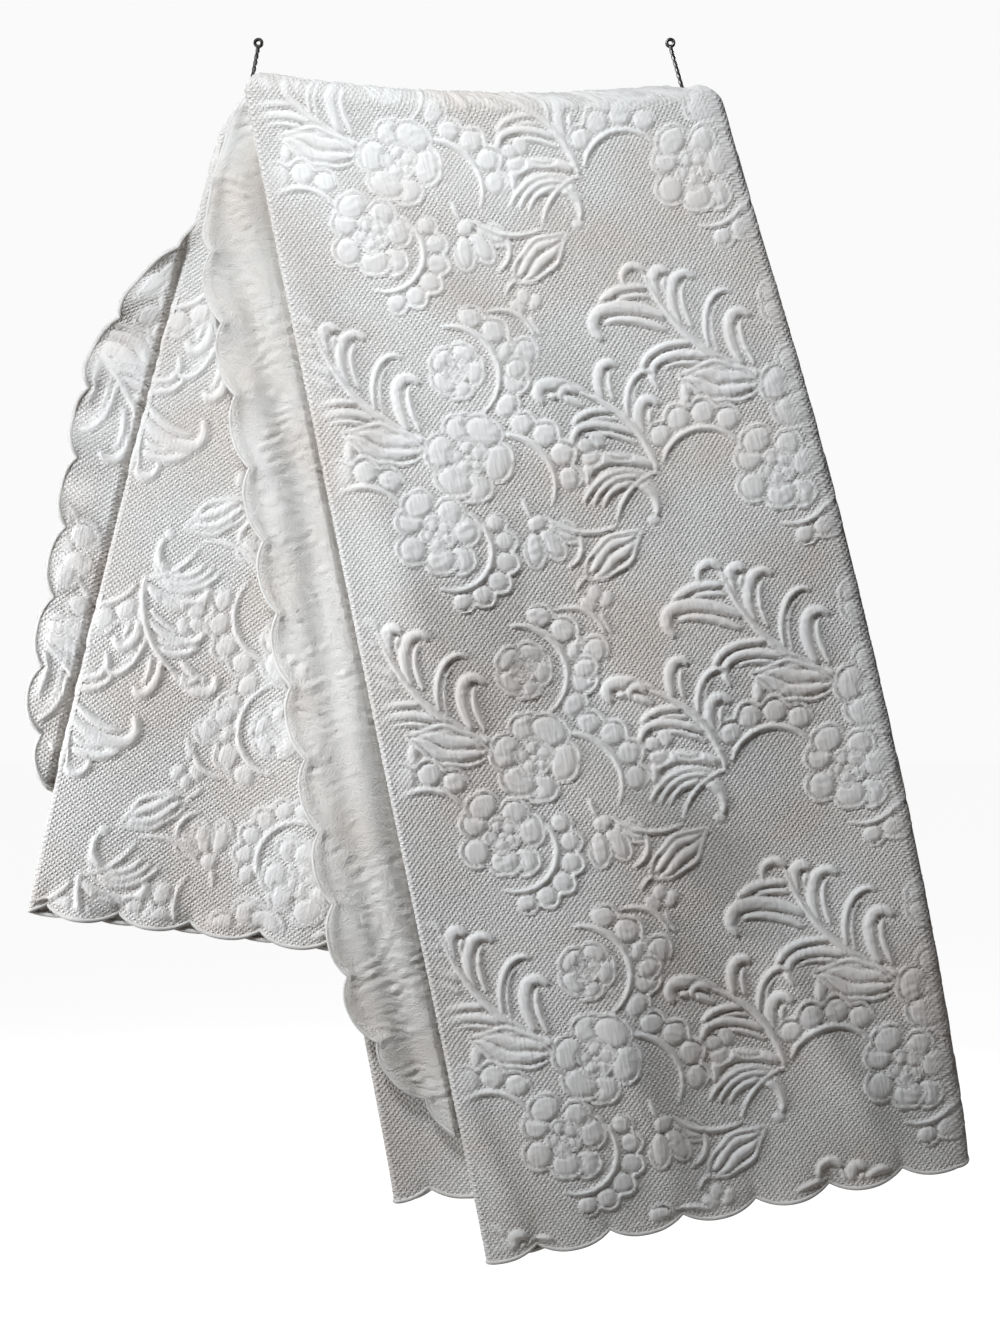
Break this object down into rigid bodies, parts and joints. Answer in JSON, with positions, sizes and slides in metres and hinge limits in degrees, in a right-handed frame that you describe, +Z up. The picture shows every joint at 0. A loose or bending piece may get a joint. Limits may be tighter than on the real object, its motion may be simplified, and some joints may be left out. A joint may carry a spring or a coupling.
{
  "type": "embossed coverlet on a hanging rod",
  "caption": "Ivory embossed coverlet with a scalloped, corded edge, folded lengthwise and hung askew over a sagging rod on two twisted wires.",
  "frame": {"origin": "halfway between the eyes at the tops of the two wires that the rod hangs by", "axes": "+X along the rod to the viewer's right, +Y away from the viewer, +Z up"},
  "size_m": [1.0276, 0.0895, 1.3337],
  "materials": {
    "ivory_cotton": "matt embossed cotton double cloth",
    "dark_steel": "dull dark steel wire"
  },
  "bodies": {
    "root": {"coverlet": "ivory_cotton", "hanger_rod": "dark_steel", "hanger_wire_left": "dark_steel", "hanger_wire_right": "dark_steel"}
  },
  "joints": []
}
